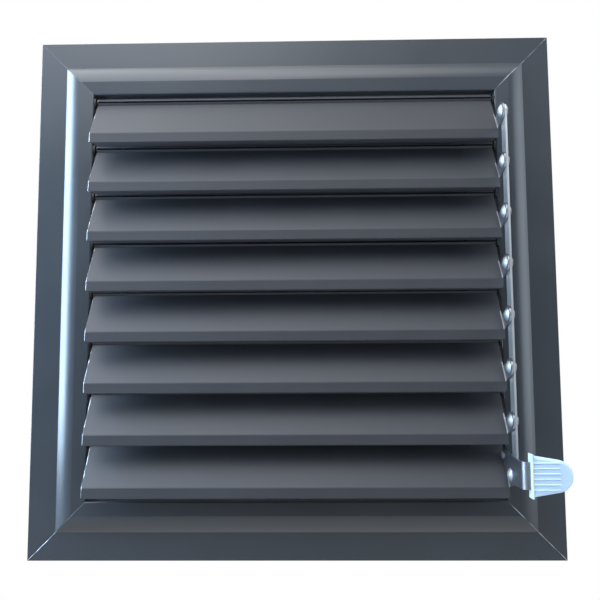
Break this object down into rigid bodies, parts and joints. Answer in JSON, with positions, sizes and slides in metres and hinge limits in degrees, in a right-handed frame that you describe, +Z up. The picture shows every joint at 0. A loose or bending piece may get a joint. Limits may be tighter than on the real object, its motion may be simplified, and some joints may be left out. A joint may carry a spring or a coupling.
{
  "type": "adjustable louvre vent grille",
  "caption": "Square wall vent grille: mitred moulded frame with a neck for the wall opening, tilting louvre blades joined by a link bar, and a lever with a ribbed knob.",
  "frame": {"origin": "Middle of the opening on the wall plane, where the back of the flange lies and the neck begins.", "axes": "X runs along the blades, to the right as seen from the room. Y points into the wall, along the neck. Z is up."},
  "size_m": [0.4, 0.1028, 0.4],
  "materials": {
    "frame_powder_coat": "satin anthracite powder coat on aluminium",
    "blade_powder_coat": "satin anthracite powder coat on aluminium",
    "key_aluminium": "mill",
    "bush_nylon": "matte",
    "pin_steel": "zinc plated",
    "link_aluminium": "bright mill",
    "rivet_aluminium": "bright",
    "lever_steel": "bright zinc plated",
    "knob_plastic": "satin light blue"
  },
  "bodies": {
    "frame": {"frame_top": "frame_powder_coat", "frame_bottom": "frame_powder_coat", "frame_left": "frame_powder_coat", "frame_right": "frame_powder_coat", "corner_key_top_left": "key_aluminium", "corner_key_top_right": "key_aluminium", "corner_key_bottom_left": "key_aluminium", "corner_key_bottom_right": "key_aluminium", "pivot_bushes_left": "bush_nylon", "pivot_bushes_right": "bush_nylon"},
    "louvre_1": {"blade_1": "blade_powder_coat", "pivot_pins_1": "pin_steel"},
    "louvre_2": {"blade_2": "blade_powder_coat", "pivot_pins_2": "pin_steel"},
    "louvre_3": {"blade_3": "blade_powder_coat", "pivot_pins_3": "pin_steel"},
    "louvre_4": {"blade_4": "blade_powder_coat", "pivot_pins_4": "pin_steel"},
    "louvre_5": {"blade_5": "blade_powder_coat", "pivot_pins_5": "pin_steel"},
    "louvre_6": {"blade_6": "blade_powder_coat", "pivot_pins_6": "pin_steel"},
    "louvre_7": {"blade_7": "blade_powder_coat", "pivot_pins_7": "pin_steel"},
    "louvre_8": {"blade_8": "blade_powder_coat", "pivot_pins_8": "pin_steel", "lever_arm": "lever_steel", "lever_rivet": "rivet_aluminium", "lever_knob": "knob_plastic"},
    "linkage": {"link_bar": "link_aluminium", "link_rivets": "rivet_aluminium"}
  },
  "joints": [
    {"name": "blade_8_tilt", "type": "hinge", "parent": "frame", "child": "louvre_8", "pos_m": [0, -0.0012, -0.11255], "axis": [-1, 0, 0], "range_deg": [-13, 34]},
    {"name": "blade_1_tilt", "type": "hinge", "parent": "frame", "child": "louvre_1", "pos_m": [0, -0.0012, 0.151], "axis": [-1, 0, 0], "range_deg": [-13, 34]},
    {"name": "blade_2_tilt", "type": "hinge", "parent": "frame", "child": "louvre_2", "pos_m": [0, -0.0012, 0.11335], "axis": [-1, 0, 0], "range_deg": [-13, 34]},
    {"name": "blade_3_tilt", "type": "hinge", "parent": "frame", "child": "louvre_3", "pos_m": [0, -0.0012, 0.0757], "axis": [-1, 0, 0], "range_deg": [-13, 34]},
    {"name": "blade_4_tilt", "type": "hinge", "parent": "frame", "child": "louvre_4", "pos_m": [0, -0.0012, 0.03805], "axis": [-1, 0, 0], "range_deg": [-13, 34]},
    {"name": "blade_5_tilt", "type": "hinge", "parent": "frame", "child": "louvre_5", "pos_m": [0, -0.0012, 0.0004], "axis": [-1, 0, 0], "range_deg": [-13, 34]},
    {"name": "blade_6_tilt", "type": "hinge", "parent": "frame", "child": "louvre_6", "pos_m": [0, -0.0012, -0.03725], "axis": [-1, 0, 0], "range_deg": [-13, 34]},
    {"name": "blade_7_tilt", "type": "hinge", "parent": "frame", "child": "louvre_7", "pos_m": [0, -0.0012, -0.0749], "axis": [-1, 0, 0], "range_deg": [-13, 34]},
    {"name": "link_turn", "type": "hinge", "parent": "louvre_8", "child": "linkage", "pos_m": [0, -0.03127, -0.13352], "axis": [-1, 0, 0], "range_deg": [-34, 13]}
  ],
  "couplings": [
    {"joint": "blade_1_tilt", "follows": "blade_8_tilt", "ratio": 1},
    {"joint": "blade_2_tilt", "follows": "blade_8_tilt", "ratio": 1},
    {"joint": "blade_3_tilt", "follows": "blade_8_tilt", "ratio": 1},
    {"joint": "blade_4_tilt", "follows": "blade_8_tilt", "ratio": 1},
    {"joint": "blade_5_tilt", "follows": "blade_8_tilt", "ratio": 1},
    {"joint": "blade_6_tilt", "follows": "blade_8_tilt", "ratio": 1},
    {"joint": "blade_7_tilt", "follows": "blade_8_tilt", "ratio": 1},
    {"joint": "link_turn", "follows": "blade_8_tilt", "ratio": -1}
  ]
}
